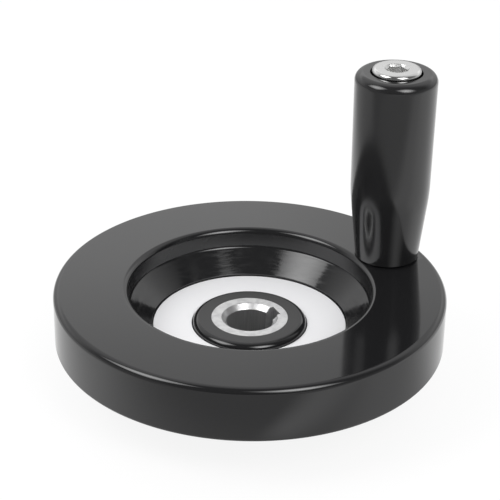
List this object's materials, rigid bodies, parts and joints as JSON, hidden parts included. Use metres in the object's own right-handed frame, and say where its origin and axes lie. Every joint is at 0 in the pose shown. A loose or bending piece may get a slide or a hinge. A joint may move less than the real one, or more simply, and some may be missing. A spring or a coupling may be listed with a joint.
{
  "type": "machine handwheel",
  "caption": "Glossy solid-disc handwheel: dished wheel round a keyed steel bush, bare metal face plate, revolving crank grip on a socket-head spindle.",
  "frame": {"origin": "centre of the hub's rear face, on the bore's axis", "axes": "+Z along the bore from the hub's rear face to the dish, +X towards the crank grip and the keyway"},
  "size_m": [0.1005, 0.1, 0.08],
  "materials": {
    "phenolic": "black moulded phenolic, polished",
    "bush_steel": "turned, bare",
    "plate_aluminium": "matt anodised",
    "insert_brass": "turned",
    "spindle_chrome": "bright plated"
  },
  "bodies": {
    "wheel": {"wheel_body": "phenolic", "hub_bush": "bush_steel", "face_plate": "plate_aluminium", "handle_insert": "insert_brass", "handle_spindle": "spindle_chrome"},
    "grip": {"handle_grip": "phenolic"}
  },
  "joints": [
    {"name": "grip_spin", "type": "hinge", "parent": "wheel", "child": "grip", "pos_m": [0.04, 0, 0.0277], "axis": [0, 0, 1], "continuous": true}
  ]
}
